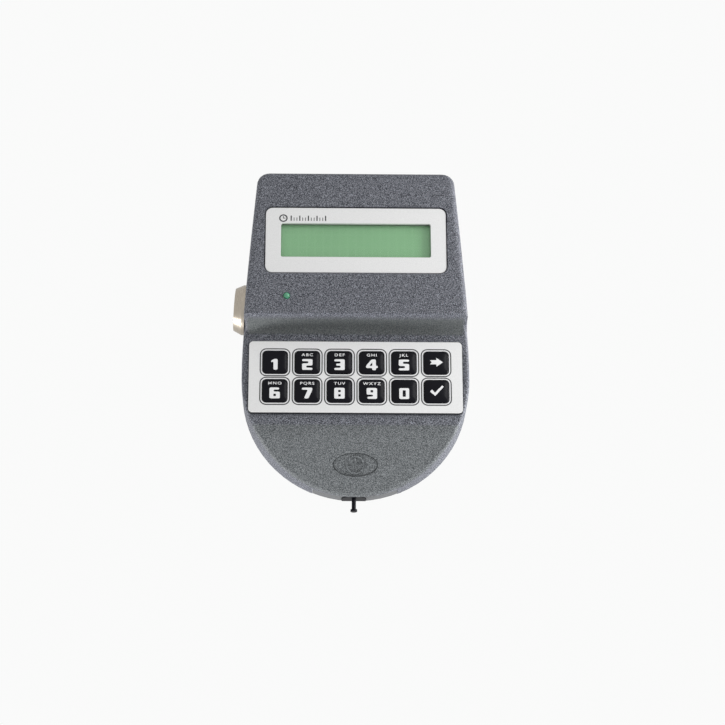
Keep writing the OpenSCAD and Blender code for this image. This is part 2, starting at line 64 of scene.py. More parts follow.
def add_camera():
    back = Vector((
        math.sin(VIEW_RIGHT) * math.cos(VIEW_BELOW),
        -math.cos(VIEW_RIGHT) * math.cos(VIEW_BELOW),
        -math.sin(VIEW_BELOW),
    ))
    right = Vector((0, 0, 1)).cross(back).normalized()
    up = back.cross(right)
    turn = Matrix.Rotation(VIEW_ROLL, 3, back)
    right, up = turn @ right, turn @ up
    camera = bpy.data.objects.new("camera", bpy.data.cameras.new("camera"))
    camera.data.lens = VIEW_LENS
    camera.data.clip_start = 0.05
    camera.matrix_world = Matrix((right, up, back)).transposed().to_4x4()
    camera.location = VIEW_TARGET + back * VIEW_DISTANCE
    SCENE.collection.objects.link(camera)
    SCENE.camera = camera


def add_area(name, location, target, size, power, colour=(1, 1, 1)):
    light = bpy.data.lights.new(name, "AREA")
    light.shape = "RECTANGLE"
    light.size, light.size_y = size
    light.energy = power
    light.color = colour
    lamp = bpy.data.objects.new(name, light)
    lamp.location = location
    aim = Vector(target) - Vector(location)
    lamp.rotation_euler = aim.to_track_quat("-Z", "Y").to_euler()
    lamp.visible_camera = False
    SCENE.collection.objects.link(lamp)


def add_world(seen, cast):
    """A plain pale studio: one tone behind the object, a dimmer one lighting it from all round."""
    world = bpy.data.worlds.new("studio")
    world.use_nodes = True
    nodes, links = world.node_tree.nodes, world.node_tree.links
    shade = nodes["Background"]
    shade.inputs["Color"].default_value = (0.955, 0.958, 0.955, 1)
    path = nodes.new("ShaderNodeLightPath")
    level = nodes.new("ShaderNodeMapRange")
    level.inputs["To Min"].default_value = cast
    level.inputs["To Max"].default_value = seen
    links.new(path.outputs["Is Camera Ray"], level.inputs["Value"])
    links.new(level.outputs["Result"], shade.inputs["Strength"])
    SCENE.world = world


add_camera()
SCENE.view_settings.view_transform = "Standard"
add_world(1.0, 0.68)
add_area("key_light", (0.30, -0.17, 0.03), (0, -0.02, 0), (0.12, 0.26), 0.62)
add_area("strip_light", (0.44, -1.0, 0.62), (0, -0.02, -0.01), (0.22, 0.5), 1.2)
add_area("left_rim", (-0.38, 0.01, -0.5), (0, -0.01, -0.04), (0.12, 0.4), 3.6)
add_area("right_rim", (0.50, 0.0, -0.10), (0, -0.01, -0.02), (0.10, 0.5), 3.6)

bpy.ops.mesh.primitive_plane_add(size=6, location=(0, -0.5, -1.35))
floor = bpy.context.object
floor.name = "floor"


# ---------------------------------------------------------------- materials

def graph(name):
    mat = bpy.data.materials.new(name)
    mat.use_nodes = True
    nodes = mat.node_tree.nodes
    return mat, nodes, mat.node_tree.links, nodes["Principled BSDF"]


def linked(links, node, socket, source):
    links.new(source, node.inputs[socket])


def noise(nodes, links, coords, scale, detail=3.0, stretch=(1, 1, 1)):
    mapping = nodes.new("ShaderNodeMapping")
    mapping.inputs["Scale"].default_value = stretch
    links.new(coords, mapping.inputs["Vector"])
    tex = nodes.new("ShaderNodeTexNoise")
    tex.inputs["Scale"].default_value = scale
    tex.inputs["Detail"].default_value = detail
    links.new(mapping.outputs["Vector"], tex.inputs["Vector"])
    return tex.outputs["Fac"]


def ramp(nodes, links, source, stops):
    band = nodes.new("ShaderNodeValToRGB")
    points = band.color_ramp.elements
    while len(points) < len(stops):
        points.new(0.5)
    for point, (place, colour) in zip(points, stops):
        point.position = place
        point.color = (*colour, 1) if len(colour) == 3 else colour
    links.new(source, band.inputs["Fac"])
    return band.outputs["Color"]


def span(nodes, links, source, low, high, out_low, out_high):
    node = nodes.new("ShaderNodeMapRange")
    for socket, value in zip(("From Min", "From Max", "To Min", "To Max"), (low, high, out_low, out_high)):
        node.inputs[socket].default_value = value
    links.new(source, node.inputs["Value"])
    return node.outputs["Result"]


def times(nodes, links, one, other):
    node = nodes.new("ShaderNodeMath")
    node.operation = "MULTIPLY"
    links.new(one, node.inputs[0])
    links.new(other, node.inputs[1])
    return node.outputs[0]


def bump(nodes, links, shader, height, distance, strength=1.0):
    node = nodes.new("ShaderNodeBump")
    node.inputs["Distance"].default_value = distance
    node.inputs["Strength"].default_value = strength
    links.new(height, node.inputs["Height"])
    links.new(node.outputs["Normal"], shader.inputs["Normal"])


def surface(
    name, colour, rough, metal=0.0, grain=900.0, vary=0.12, relief=0.00001, stretch=(1, 1, 1), spread=0.06,
):
    """Any plain finish: its colour and roughness drift a little, and a fine grain breaks its gloss."""
    mat, nodes, links, shader = graph(name)
    coords = nodes.new("ShaderNodeTexCoord").outputs["Object"]
    fine = noise(nodes, links, coords, grain, 3, stretch)
    broad = noise(nodes, links, coords, 45, 2)
    dark = [c * (1 - vary) for c in colour]
    light = [min(1, c * (1 + vary)) for c in colour]
    linked(links, shader, "Base Color", ramp(nodes, links, fine, [(0.3, dark), (0.7, light)]))
    linked(links, shader, "Roughness", span(nodes, links, broad, 0.3, 0.7, rough - spread, rough + spread))
    shader.inputs["Metallic"].default_value = metal
    bump(nodes, links, shader, fine, relief)
    return mat


def shell_plastic():
    """Spark-textured dark grey moulding: coarse above the crease, finer on the nose, whose paler tone is
    painted light, with painted shade in the cove under the ridge.
    """
    mat, nodes, links, shader = graph("shell_plastic")
    coords = nodes.new("ShaderNodeTexCoord").outputs["Object"]
    speck = noise(nodes, links, coords, 2500, 2)
    grit = noise(nodes, links, coords, 5200, 2)
    mottle = noise(nodes, links, coords, 60, 3)
    mixed = nodes.new("ShaderNodeMath")
    mixed.operation = "MULTIPLY_ADD"
    mixed.inputs[1].default_value = 0.5
    links.new(grit, mixed.inputs[0])
    half = nodes.new("ShaderNodeMath")
    half.operation = "MULTIPLY"
    half.inputs[1].default_value = 0.5
    links.new(speck, half.inputs[0])
    links.new(half.outputs[0], mixed.inputs[2])
    rough_face = ramp(nodes, links, mixed.outputs[0], [
        (0.42, (0.018, 0.020, 0.028)), (0.50, (0.076, 0.081, 0.097)), (0.575, (0.305, 0.316, 0.360)),
    ])
    # Painted light: the nose's finer grain is real, but its paler tone stands for the light that its
    # downward-facing slope catches.
    nose_fine_lit_face = ramp(nodes, links, mixed.outputs[0], [
        (0.42, (0.036, 0.041, 0.044)), (0.50, (0.103, 0.112, 0.118)), (0.575, (0.240, 0.254, 0.265)),
    ])
    split = nodes.new("ShaderNodeSeparateXYZ")
    links.new(coords, split.inputs[0])
    height = split.outputs["Z"]
    below = span(nodes, links, height, CREASE_Z + 0.4 * MM, CREASE_Z - 0.6 * MM, 0, 1)
    reach = nodes.new("ShaderNodeVectorMath")
    reach.operation = "DOT_PRODUCT"
    reach.inputs[1].default_value = NOSE_OUT
    links.new(coords, reach.inputs[0])
    out_far = reach.outputs["Value"]
    skin_depth = span(nodes, links, out_far, NOSE_REACH - 1.1 * MM, NOSE_REACH - 0.8 * MM, 0, 1)
    nose = times(nodes, links, below, skin_depth)
    across = nodes.new("ShaderNodeMath")
    across.operation = "ABSOLUTE"
    links.new(split.outputs["X"], across.inputs[0])
    inside = span(nodes, links, across.outputs[0], 47.2 * MM, 46.2 * MM, 0, 1)
    # Painted shade: between the ridge and the foot of the cove, the grain turns to a duller, greener tone
    # that stands for the shade falling in the cove.
    under = span(nodes, links, height, RIDGE_Z, RIDGE_Z - 0.5 * MM, 0, 1)
    above = span(nodes, links, height, COVE_Z - 0.5 * MM, COVE_Z + 0.5 * MM, 0, 1)
    cove_shade_mask = times(nodes, links, times(nodes, links, under, above), inside)
    cove_shade_face = ramp(nodes, links, mixed.outputs[0], [
        (0.41, (0.060, 0.066, 0.067)), (0.50, (0.104, 0.113, 0.115)), (0.59, (0.172, 0.185, 0.188)),
    ])
    cove_shaded = nodes.new("ShaderNodeMix")
    cove_shaded.data_type = "RGBA"
    links.new(cove_shade_mask, cove_shaded.inputs["Factor"])
    links.new(rough_face, cove_shaded.inputs[6])
    links.new(cove_shade_face, cove_shaded.inputs[7])
    blend = nodes.new("ShaderNodeMix")
    blend.data_type = "RGBA"
    links.new(nose, blend.inputs["Factor"])
    links.new(cove_shaded.outputs[2], blend.inputs[6])
    links.new(nose_fine_lit_face, blend.inputs[7])
    linked(links, shader, "Base Color", blend.outputs[2])
    linked(links, shader, "Roughness", span(nodes, links, mottle, 0.3, 0.7, 0.52, 0.62))
    shader.inputs["Specular IOR Level"].default_value = 0.42
    bump(nodes, links, shader, mixed.outputs[0], 0.00016, 0.6)
    return mat


def brushed(name, colour, rough, stretch):
    """Bare metal with a fine grain drawn out along one axis."""
    return surface(name, colour, rough, 1.0, 500, 0.10, 0.000006, stretch, 0.05)


def film(name, colour, rough):
    """Printed polyester film over a metallic ground: satin, with a faint sparkle."""
    return surface(name, colour, rough, 0.25, 2600, 0.05, 0.000004, (1, 1, 1), 0.03)


def gloss_black(name, colour, rough, reflect):
    """Black moulding whose gloss is low enough to stay black under a white surround."""
    mat = surface(name, colour, rough, 0, 1500, 0.2, 0.0000015, (1, 1, 1), 0.03)
    mat.node_tree.nodes["Principled BSDF"].inputs["Specular IOR Level"].default_value = reflect
    return mat


def clear_plastic():
    """Thin clear window, almost unseen."""
    mat, nodes, links, shader = graph("clear_plastic")
    coords = nodes.new("ShaderNodeTexCoord").outputs["Object"]
    drift = noise(nodes, links, coords, 80, 2)
    tints = [(0.3, (0.80, 0.90, 0.83)), (0.7, (0.84, 0.93, 0.86))]
    linked(links, shader, "Base Color", ramp(nodes, links, drift, tints))
    linked(links, shader, "Roughness", span(nodes, links, drift, 0.3, 0.7, 0.05, 0.09))
    shader.inputs["Alpha"].default_value = 0.04
    return mat


def lcd_glass():
    """Reflective green liquid crystal, with the character cells just showing."""
    mat, nodes, links, shader = graph("lcd_green")
    coords = nodes.new("ShaderNodeTexCoord").outputs["Object"]
    cloud = noise(nodes, links, coords, 30, 2)
    cells = nodes.new("ShaderNodeTexBrick")
    cells.offset = 0
    cells.inputs["Scale"].default_value = 1 / (3.55 * MM)
    cells.inputs["Brick Width"].default_value = 1.0
    cells.inputs["Row Height"].default_value = 1.68
    cells.inputs["Mortar Size"].default_value = 0.09
    cells.inputs["Color1"].default_value = (0.196, 0.440, 0.209, 1)
    cells.inputs["Color2"].default_value = (0.192, 0.432, 0.205, 1)
    cells.inputs["Mortar"].default_value = (0.206, 0.455, 0.218, 1)
    turn = nodes.new("ShaderNodeMapping")
    turn.inputs["Rotation"].default_value = (-math.pi / 2, 0, 0)
    links.new(coords, turn.inputs["Vector"])
    links.new(turn.outputs["Vector"], cells.inputs["Vector"])
    tint = nodes.new("ShaderNodeMix")
    tint.data_type = "RGBA"
    tint.blend_type = "MULTIPLY"
    tint.inputs["Factor"].default_value = 1
    links.new(cells.outputs["Color"], tint.inputs[6])
    links.new(ramp(nodes, links, cloud, [(0.3, (0.94, 0.95, 0.94)), (0.7, (1, 1, 1))]), tint.inputs[7])
    linked(links, shader, "Base Color", tint.outputs[2])
    linked(links, shader, "Roughness", span(nodes, links, cloud, 0.3, 0.7, 0.30, 0.38))
    return mat


def circuit_board():
    """Green solder mask with paler copper tracks under it."""
    mat, nodes, links, shader = graph("circuit_board")
    coords = nodes.new("ShaderNodeTexCoord").outputs["Object"]
    tracks = nodes.new("ShaderNodeTexBrick")
    tracks.inputs["Scale"].default_value = 320
    tracks.inputs["Mortar Size"].default_value = 0.06
    tracks.inputs["Color1"].default_value = (0.012, 0.13, 0.05, 1)
    tracks.inputs["Color2"].default_value = (0.016, 0.16, 0.06, 1)
    tracks.inputs["Mortar"].default_value = (0.05, 0.27, 0.10, 1)
    turn = nodes.new("ShaderNodeMapping")
    turn.inputs["Rotation"].default_value = (-math.pi / 2, 0, 0)
    links.new(coords, turn.inputs["Vector"])
    links.new(turn.outputs["Vector"], tracks.inputs["Vector"])
    linked(links, shader, "Base Color", tracks.outputs["Color"])
    fine = noise(nodes, links, coords, 700, 2)
    linked(links, shader, "Roughness", span(nodes, links, fine, 0.3, 0.7, 0.28, 0.40))
    bump(nodes, links, shader, tracks.outputs["Fac"], 0.00002)
    return mat


def led_epoxy():
    """Tinted lens of the unlit status light."""
    mat = surface("led_epoxy", (0.07, 0.30, 0.17), 0.12, 0, 700, 0.15, 0.000004)
    shader = mat.node_tree.nodes["Principled BSDF"]
    shader.inputs["Coat Weight"].default_value = 0.8
    shader.inputs["Subsurface Weight"].default_value = 0.3
    shader.inputs["Subsurface Scale"].default_value = 0.001
    return mat


# ---------------------------------------------------------------- places taken from the frame

def record_joint(name):
    return next(j for j in frame["joints"] if j["name"] == name)


def middle(node):
    low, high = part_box(node)
    return (low + high) / 2


FACE_OUT = -Vector(record_joint("key_1_press")["axis"]).normalized()
FACE_RIGHT = Vector((1, 0, 0))
FACE_UP = FACE_OUT.cross(FACE_RIGHT)
KEYS = [
    "key_1", "key_2", "key_3", "key_4", "key_5", "key_arrow",
    "key_6", "key_7", "key_8", "key_9", "key_0", "key_check",
]
# Heights at which the shell's colouring changes: the nose crease, where the finer grain and painted light
# begin, and the foot of the cove and the ridge over it, between which the shade is painted
CREASE_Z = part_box("keypad_overlay")[0].z - 5.0 * MM
COVE_Z = -2.4 * MM
RIDGE_Z = 2.6 * MM
NOSE_TILT = math.radians(24.8)
NOSE_OUT = Vector((0, -math.cos(NOSE_TILT), -math.sin(NOSE_TILT)))
NOSE_REACH = max(v.co.dot(NOSE_OUT) for v in frame["nodes"]["oval_badge"].data.vertices)


def face_frame(origin):
    """Axes on a sloping face: x to the right, y up the face, z out of it."""
    axes = Matrix((FACE_RIGHT, FACE_UP, FACE_OUT)).transposed().to_4x4()
    axes.translation = origin
    return axes


def outer_face(node):
    """A point on the outermost plane of a flat node that lies on the sloping face."""
    mesh = frame["nodes"][node].data
    reach = max(v.co.dot(FACE_OUT) for v in mesh.vertices)
    centre = middle(node)
    return centre + FACE_OUT * (reach - centre.dot(FACE_OUT))


# ---------------------------------------------------------------- mesh helpers

def make_object(name, bm, mat, place=None):
    mesh = bpy.data.meshes.new(name)
    bmesh.ops.recalc_face_normals(bm, faces=bm.faces)
    bm.to_mesh(mesh)
    bm.free()
    mesh.materials.append(mat)
    piece = bpy.data.objects.new(name, mesh)
    SCENE.collection.objects.link(piece)
    if place is not None:
        piece.matrix_world = place
    return piece


def rounded_ring(half_w, half_l, r, steps=6):
    points = []
    for corner in range(4):
        sx = 1 if corner in (0, 3) else -1
        sy = 1 if corner < 2 else -1
        for i in range(steps + 1):
            a = math.radians(90 * (corner + i / steps))
            points.append((sx * (half_w - r) + r * math.cos(a), sy * (half_l - r) + r * math.sin(a)))
    return points


def skin(bm, rings):
    """Joins rings of equal length with quads, and caps the first and the last."""
    loops = [[bm.verts.new(p) for p in ring] for ring in rings]
    count = len(loops[0])
    for low, high in zip(loops, loops[1:]):
        for i in range(count):
            j = (i + 1) % count
            bm.faces.new((low[i], low[j], high[j], high[i]))
    bm.faces.new(list(reversed(loops[0])))
    bm.faces.new(loops[-1])


def flat_ring(bm, centre, outer, outer_r, inner, inner_r, thickness):
    """A flat square band with round corners, with real thickness, lying in the x-y plane."""
    cx, cy, cz = centre
    rings = []
    for half, r, z in (
        (inner, inner_r, 0), (outer, outer_r, 0), (outer, outer_r, thickness), (inner, inner_r, thickness),
    ):
        rings.append([bm.verts.new((cx + x, cy + y, cz + z)) for x, y in rounded_ring(half, half, r)])
    count = len(rings[0])
    for k in range(4):
        low, high = rings[k], rings[(k + 1) % 4]
        for i in range(count):
            j = (i + 1) % count
            bm.faces.new((low[i], low[j], high[j], high[i]))


def smooth_by_angle(limit):
    """Geometry nodes that shade smooth except over edges sharper than limit."""
    group = bpy.data.node_groups.new("smooth_by_angle", "GeometryNodeTree")
    group.interface.new_socket("Geometry", in_out="INPUT", socket_type="NodeSocketGeometry")
    group.interface.new_socket("Geometry", in_out="OUTPUT", socket_type="NodeSocketGeometry")
    start = group.nodes.new("NodeGroupInput")
    end = group.nodes.new("NodeGroupOutput")
    angle = group.nodes.new("GeometryNodeInputMeshEdgeAngle")
    under = group.nodes.new("FunctionNodeCompare")
    under.data_type = "FLOAT"
    under.operation = "LESS_THAN"
    under.inputs[1].default_value = limit
    faces = group.nodes.new("GeometryNodeSetShadeSmooth")
    edges = group.nodes.new("GeometryNodeSetShadeSmooth")
    edges.domain = "EDGE"
    group.links.new(start.outputs[0], faces.inputs["Geometry"])
    group.links.new(faces.outputs[0], edges.inputs["Geometry"])
    group.links.new(angle.outputs["Unsigned Angle"], under.inputs[0])
    group.links.new(under.outputs[0], edges.inputs["Shade Smooth"])
    group.links.new(edges.outputs[0], end.inputs[0])
    return group


SMOOTH = smooth_by_angle(math.radians(32))


def finish_edges(piece, bevel=0.0, weld=True):
    """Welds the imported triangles, rounds the sharp edges and smooths the rest."""
    if weld:
        merge = piece.modifiers.new("weld", "WELD")
        merge.merge_threshold = 0.000002
    if bevel:
        if weld:
            flats = piece.modifiers.new("flats", "DECIMATE")
            flats.decimate_type = "DISSOLVE"
            flats.angle_limit = math.radians(0.4)
        edge = piece.modifiers.new("bevel", "BEVEL")
        edge.width = bevel
        edge.segments = 2
        edge.limit_method = "ANGLE"
        edge.angle_limit = math.radians(38)
        edge.use_clamp_overlap = True
    shade = piece.modifiers.new("smooth", "NODES")
    shade.node_group = SMOOTH
    weight = piece.modifiers.new("weight", "WEIGHTED_NORMAL")
    weight.keep_sharp = True
    weight.weight = 80


# ---------------------------------------------------------------- finishes of the CAD nodes

SHELL = shell_plastic()
BASE = surface("base_plastic", (0.125, 0.129, 0.135), 0.55, 0, 1500, 0.18, 0.00006)
SILVER = film("silver_film", (0.82, 0.82, 0.82), 0.42)
OVERLAY = film("overlay_film", (0.84, 0.84, 0.84), 0.40)
CARRIER = surface("carrier_plastic", (0.012, 0.013, 0.015), 0.35, 0, 900, 0.2, 0.00001)
KEY = gloss_black("key_plastic", (0.0035, 0.0035, 0.0065), 0.22, 0.16)
CLEAR = clear_plastic()
LCD = lcd_glass()
BOARD = circuit_board()
CHIP = surface("chip_black", (0.018, 0.018, 0.020), 0.5, 0, 1200, 0.25, 0.00002)
FRAME_STEEL = surface("frame_black", (0.02, 0.02, 0.022), 0.42, 0.3, 900, 0.2, 0.00001)
STEEL = brushed("zinc_steel", (0.62, 0.63, 0.64), 0.34, (1, 1, 6))
CAN = brushed("can_steel", (0.68, 0.69, 0.70), 0.28, (1, 1, 4))
NICKEL = brushed("satin_nickel", (0.56, 0.50, 0.42), 0.28, (8, 1, 1))
DIFFUSER = surface("diffuser", (0.78, 0.84, 0.72), 0.6)
GREEN_BLOCK = surface("terminal_green", (0.03, 0.22, 0.08), 0.36)
SLEEVE = surface("battery_sleeve", (0.04, 0.20, 0.09), 0.25)
CAPACITOR = surface("capacitor_sleeve", (0.02, 0.025, 0.045), 0.22)
WIRE = surface("wire_red", (0.42, 0.02, 0.015), 0.38)
RIBBON = surface("ribbon_grey", (0.26, 0.27, 0.29), 0.5, 0, 600, 0.3, 0.00008, (4, 0.2, 0.2))
PLUNGER = gloss_black("black_acetal", (0.005, 0.005, 0.008), 0.30, 0.10)
LED = led_epoxy()
INK = surface("black_ink", (0.016, 0.017, 0.022), 0.42)
WHITE_INK = surface("white_ink", (0.86, 0.86, 0.87), 0.45, 0, 1500, 0.03)

FINISH = {
    "front_shell": (SHELL, 0.12 * MM), "base_plate": (BASE, 0.12 * MM), "oval_badge": (SHELL, 0.06 * MM),
    "display_plate": (SILVER, 0.18 * MM), "display_window": (CLEAR, 0),
    "lcd_frame": (FRAME_STEEL, 0.1 * MM),
    "lcd_glass": (LCD, 0), "lcd_backlight": (DIFFUSER, 0.1 * MM), "lcd_board": (BOARD, 0),
    "lcd_chips": (CHIP, 0.2 * MM), "lcd_screws": (STEEL, 0), "led": (LED, 0),
    "led_holder": (CHIP, 0.1 * MM),
    "keypad_carrier": (CARRIER, 0.10 * MM), "keypad_overlay": (OVERLAY, 0.05 * MM), "key_domes": (CAN, 0),
    "keypad_board": (BOARD, 0), "keypad_screws": (STEEL, 0), "keypad_cable": (RIBBON, 0),
    "lcd_cable": (RIBBON, 0), "board_headers": (CHIP, 0.1 * MM), "main_board": (BOARD, 0),
    "processor": (CHIP, 0.1 * MM), "memory_chips": (CHIP, 0), "crystal": (CAN, 0.3 * MM),
    "capacitors": (CAPACITOR, 0.3 * MM), "voltage_regulator": (CHIP, 0.1 * MM),
    "terminal_block": (GREEN_BLOCK, 0.15 * MM), "buzzer": (CHIP, 0.3 * MM), "coin_cell": (CAN, 0.2 * MM),
    "coin_cell_holder": (CHIP, 0.1 * MM), "battery_pack": (SLEEVE, 0.4 * MM), "battery_leads": (WIRE, 0),
    "board_screws": (STEEL, 0), "reader_collar": (NICKEL, 0.22 * MM), "reader_insulator": (CHIP, 0.1 * MM),
    "reader_contact": (NICKEL, 0.2 * MM), "reader_spring": (STEEL, 0), "reader_nut": (STEEL, 0.2 * MM),
    "reader_wires": (WIRE, 0), "release_plunger": (PLUNGER, 0.12 * MM), "plunger_bush": (PLUNGER, 0.2 * MM),
    "plunger_spring": (STEEL, 0), "plunger_clip": (STEEL, 0),
}

floor.data.materials.append(surface("studio_floor", (0.93, 0.93, 0.93), 0.85, 0, 6, 0.02, 0.0001))

for node, (mat, bevel) in FINISH.items():
    piece = frame["nodes"][node]
    piece.data.materials.clear()
    piece.data.materials.append(mat)
    finish_edges(piece, bevel)


# ---------------------------------------------------------------- keys and their legends

KEY_HALF = 5.35 * MM
KEY_CORNER = 1.8 * MM
KEY_TOP = 2.30 * MM
KEY_RIM = 1.62 * MM
KEY_PROUD = 2.35 * MM
KEY_FOOT = -0.06 * MM
FLANGE_HALF, FLANGE_LOW, FLANGE_CORNER = 5.85 * MM, -0.9 * MM, 2.0 * MM
STEM_HALF, STEM_LOW, STEM_CORNER = 1.9 * MM, -1.5 * MM, 1.85 * MM
EDGE_ROUND = 0.55 * MM
EDGE_STEPS = 5
CROWN_RINGS = 9


def crown(x, y):
    """Height of a key's pillow-shaped top over the face at a point from its centre."""
    u, v = abs(x) / KEY_HALF, abs(y) / KEY_HALF
    return KEY_TOP - 0.20 * MM * (u ** 2 + v ** 2) - 0.16 * MM * (u ** 6 + v ** 6)


def key_rings():
    """Rings of one key from the foot of its stem, over its flange and rim, to the middle of its top."""
    rings = []
    for half, r, z in (
        (STEM_HALF, STEM_CORNER, STEM_LOW),
        (STEM_HALF, STEM_CORNER, FLANGE_LOW),
        (FLANGE_HALF, FLANGE_CORNER, FLANGE_LOW),
        (FLANGE_HALF, FLANGE_CORNER, KEY_FOOT),
        (KEY_HALF, KEY_CORNER, KEY_FOOT),
        (KEY_HALF, KEY_CORNER, KEY_RIM - EDGE_ROUND),
    ):
        rings.append([(x, y, z) for x, y in rounded_ring(half, half, r)])
    for step in range(1, EDGE_STEPS + 1):
        a = math.radians(90 * step / EDGE_STEPS)
        inset = EDGE_ROUND * (1 - math.cos(a))
        ring = []
        for x, y in rounded_ring(KEY_HALF - inset, KEY_HALF - inset, KEY_CORNER - inset):
            ring.append((x, y, crown(x, y) - EDGE_ROUND * (1 - math.sin(a))))
        rings.append(ring)
    inner = KEY_HALF - EDGE_ROUND
    for step in range(1, CROWN_RINGS):
        scale = 1 - step / CROWN_RINGS
        half = inner * scale
        corner = min(half * 0.98, (KEY_CORNER - EDGE_ROUND) * (0.4 + 0.6 * scale))
        rings.append([(x, y, crown(x, y)) for x, y in rounded_ring(half, half, corner)])
    return rings


def key_centre_on_face(name):
    """The key's own axis runs through its foot, so its centre comes from the middle of its vertices."""
    verts = [v.co for v in frame["nodes"][name].data.vertices]
    x = (min(v.x for v in verts) + max(v.x for v in verts)) / 2
    ups = [v.dot(FACE_UP) for v in verts]
    outs = [v.dot(FACE_OUT) for v in verts]
    up = (min(ups) + max(ups)) / 2
    out = max(outs) - KEY_PROUD
    return FACE_RIGHT * x + FACE_UP * up + FACE_OUT * out


# Outlines of the legends on a grid 4 wide and 6 high: each is a list of closed loops, outer loop first
GLYPHS = {
    "0": [[(0.1, 0), (3.9, 0), (3.9, 6), (0.1, 6)], [(1.4, 1.2), (1.4, 4.8), (2.6, 4.8), (2.6, 1.2)]],
    "1": [[(1.4, 0), (3.0, 0), (3.0, 6), (1.7, 6), (0.5, 5.1), (0.5, 4.1), (1.4, 4.5)]],
    "2": [[(0, 6), (4, 6), (4, 2.4), (1.6, 2.4), (1.6, 1.2), (4, 1.2), (4, 0), (0, 0), (0, 3.6), (2.4, 3.6),
           (2.4, 4.8), (0, 4.8)]],
    "3": [[(0, 6), (4, 6), (4, 0), (0, 0), (0, 1.2), (2.4, 1.2), (2.4, 2.4), (0.7, 2.4), (0.7, 3.6),
           (2.4, 3.6), (2.4, 4.8), (0, 4.8)]],
    "4": [[(2.2, 0), (3.6, 0), (3.6, 1.2), (4.3, 1.2), (4.3, 2.4), (3.6, 2.4), (3.6, 6), (1.9, 6),
           (-0.2, 2.4), (-0.2, 1.2), (2.2, 1.2)], [(1.1, 2.4), (2.2, 4.4), (2.2, 2.4)]],
    "5": [[(0, 6), (4, 6), (4, 4.8), (1.6, 4.8), (1.6, 3.6), (4, 3.6), (4, 0), (0, 0), (0, 1.2), (2.4, 1.2),
           (2.4, 2.4), (0, 2.4)]],
    "6": [[(0, 6), (3.7, 6), (3.7, 4.8), (1.6, 4.8), (1.6, 3.7), (4, 3.7), (4, 0), (0, 0)],
          [(1.5, 1.2), (1.5, 2.5), (2.5, 2.5), (2.5, 1.2)]],
    "7": [[(0, 6), (4, 6), (4, 4.7), (2.5, 0), (0.8, 0), (2.3, 4.8), (0, 4.8)]],
    "8": [[(0, 0), (4, 0), (4, 6), (0, 6)], [(1.5, 1.2), (1.5, 2.4), (2.5, 2.4), (2.5, 1.2)],
          [(1.5, 3.6), (1.5, 4.8), (2.5, 4.8), (2.5, 3.6)]],
    "9": [[(4, 0), (0.3, 0), (0.3, 1.2), (2.4, 1.2), (2.4, 2.3), (0, 2.3), (0, 6), (4, 6)],
          [(1.5, 3.5), (1.5, 4.8), (2.5, 4.8), (2.5, 3.5)]],
    "arrow": [[(-0.4, 2.0), (2.1, 2.0), (2.1, 0.9), (4.6, 3.0), (2.1, 5.1), (2.1, 4.0), (-0.4, 4.0),
               (0.3, 3.0)]],
    "check": [[(-0.5, 2.6), (0.3, 3.6), (1.4, 2.1), (4.2, 5.6), (4.8, 5.0), (1.5, 0.6)]],
}
GLYPH_W, GLYPH_H = 1.12 * MM, 0.84 * MM
LETTERS = {"key_2": "ABC", "key_3": "DEF", "key_4": "GHI", "key_5": "JKL", "key_6": "MNO", "key_7": "PQRS",
           "key_8": "TUV", "key_9": "WXYZ"}
LETTER_SIZE = 1.95 * MM
LETTER_RAISE = 2.62 * MM
DIGIT_DROP = 1.35 * MM
SYMBOL_STRETCH = 1.18
LEGEND_GAP, LEGEND_THICK, LEGEND_EDGE = 0.004 * MM, 0.03 * MM, 0.7 * MM


def softened(loop, radius):
    """Rounds a loop's corners, as those of a printed legend are."""
    out = []
    count = len(loop)
    for i, point in enumerate(loop):
        p = Vector(point)
        before, after = (
            side * min(0.42, radius / side.length)
            for side in (Vector(loop[i - 1]) - p, Vector(loop[(i + 1) % count]) - p)
        )
        for t in (0, 0.33, 0.67, 1):
            out.append(p + before * (1 - t) ** 2 + after * t ** 2)
    return out


def outline_mesh(name, loops):
    """A filled flat shape from closed loops, as a mesh."""
    curve = bpy.data.curves.new(name, "CURVE")
    curve.dimensions = "2D"
    curve.fill_mode = "BOTH"
    for loop in loops:
        spline = curve.splines.new("POLY")
        spline.points.add(len(loop) - 1)
        spline.use_cyclic_u = True
        for point, (x, y) in zip(spline.points, loop):
            point.co = (x, y, 0, 1)
    return flat_mesh(name, curve)


def flat_mesh(name, curve):
    holder = bpy.data.objects.new(name, curve)
    SCENE.collection.objects.link(holder)
    bpy.context.view_layer.update()
    mesh = bpy.data.meshes.new_from_object(holder.evaluated_get(bpy.context.evaluated_depsgraph_get()))
    bpy.data.objects.remove(holder)
    return mesh


def raise_flat(bm, height_at, thickness, longest):
    """Splits long edges, lays the flat shape on a curved top and gives it thickness."""
    bmesh.ops.triangulate(bm, faces=bm.faces)
    for _ in range(5):
        long_edges = [e for e in bm.edges if e.calc_length() > longest]
        if not long_edges:
            break
        bmesh.ops.subdivide_edges(bm, edges=long_edges, cuts=1)
        bmesh.ops.triangulate(bm, faces=bm.faces)
    for v in bm.verts:
        v.co.z = height_at(v.co.x, v.co.y)
    grown = bmesh.ops.extrude_face_region(bm, geom=bm.faces[:])
    for v in [g for g in grown["geom"] if isinstance(g, bmesh.types.BMVert)]:
        v.co.z += thickness


